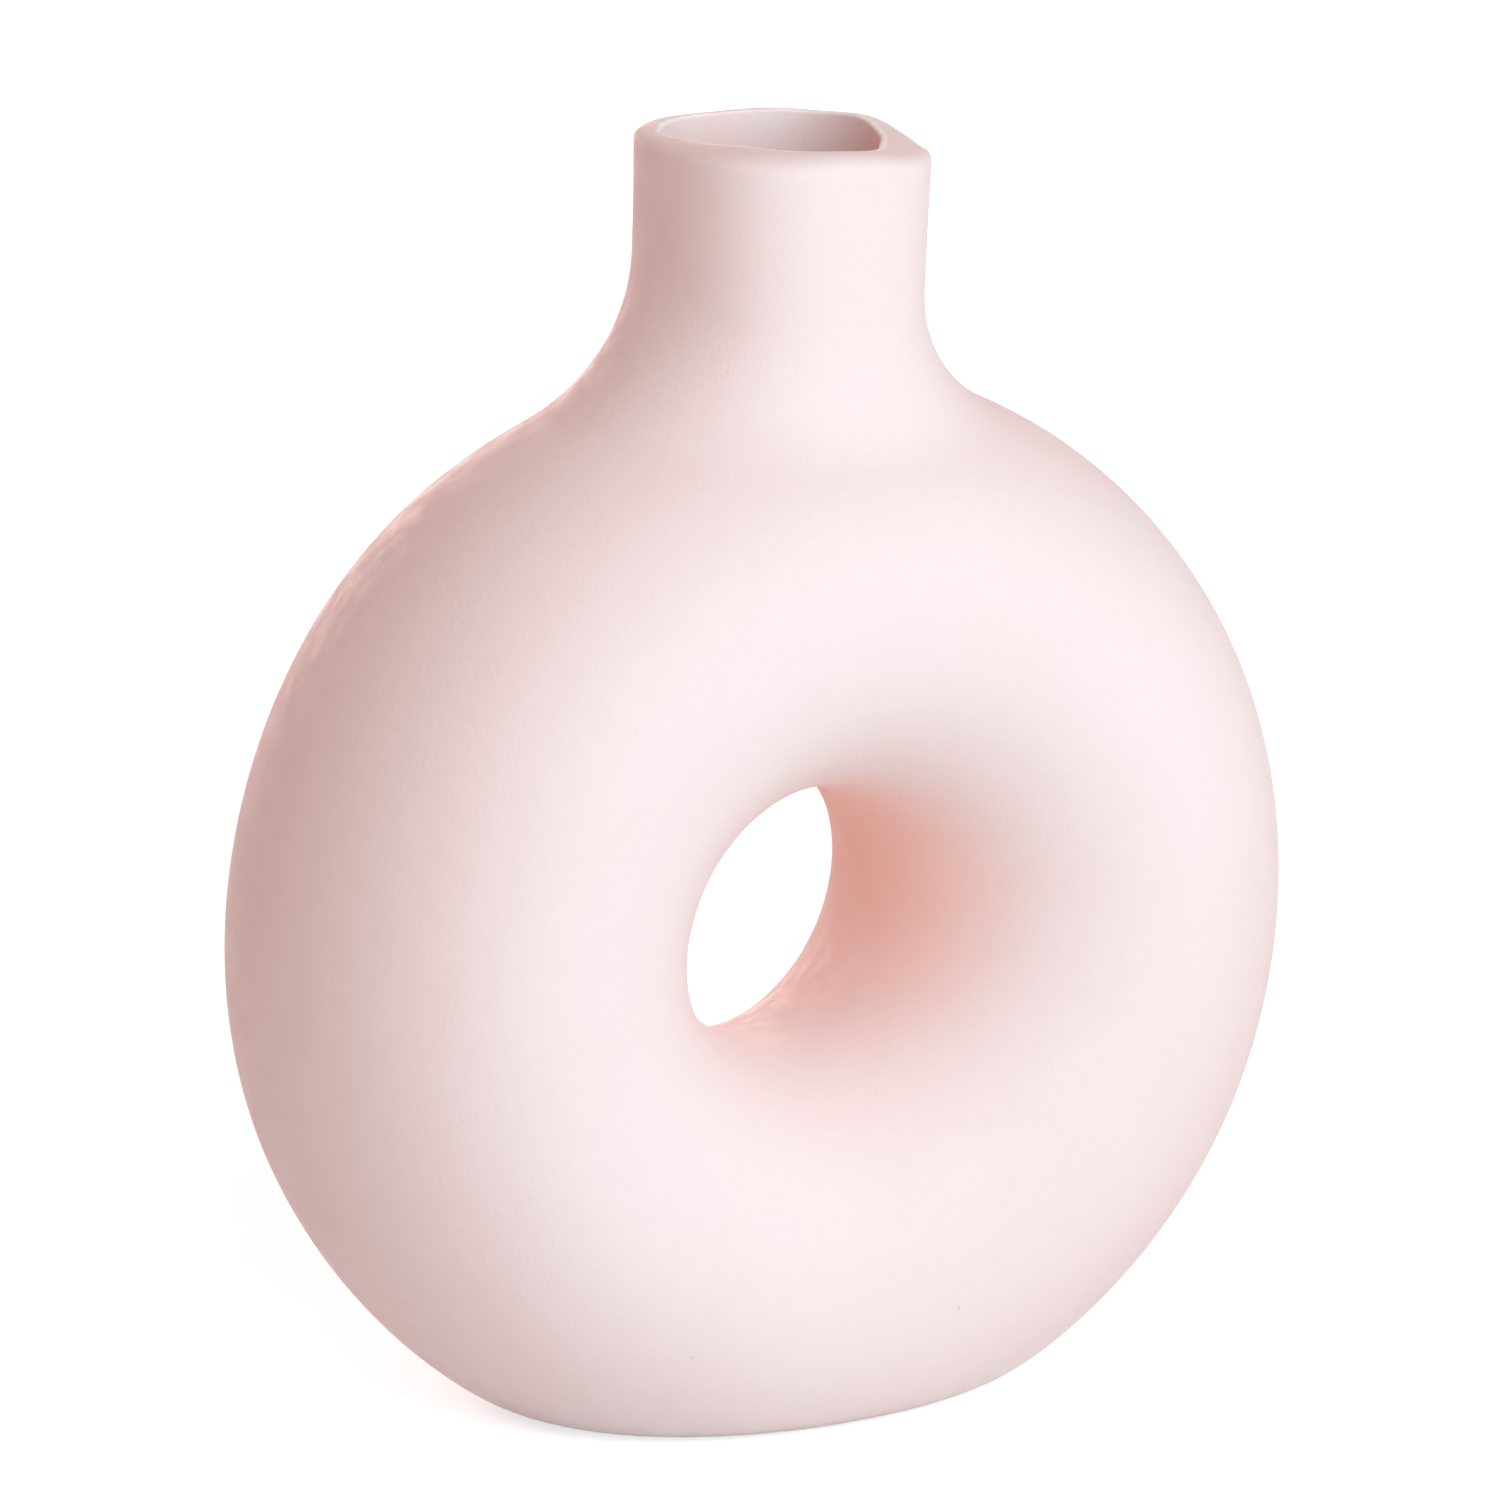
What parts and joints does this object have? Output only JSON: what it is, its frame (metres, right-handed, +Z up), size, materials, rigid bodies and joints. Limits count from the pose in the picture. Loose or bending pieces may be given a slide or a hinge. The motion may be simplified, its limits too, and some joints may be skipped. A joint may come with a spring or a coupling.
{
  "type": "donut vase",
  "caption": "Upright hollow ring of matte fired clay with a short wide neck on top and a flat foot.",
  "frame": {"origin": "middle of the foot on the plane that the vase stands on, under the centre of the ring", "axes": "+Z up through the neck, +Y along the axis of the ring towards the back, +X to the right seen from the front"},
  "size_m": [0.161, 0.075, 0.1829],
  "materials": {
    "pink_clay": "matte"
  },
  "bodies": {
    "root": {"front_shell": "pink_clay", "back_shell": "pink_clay", "neck": "pink_clay", "foot": "pink_clay"}
  },
  "joints": []
}
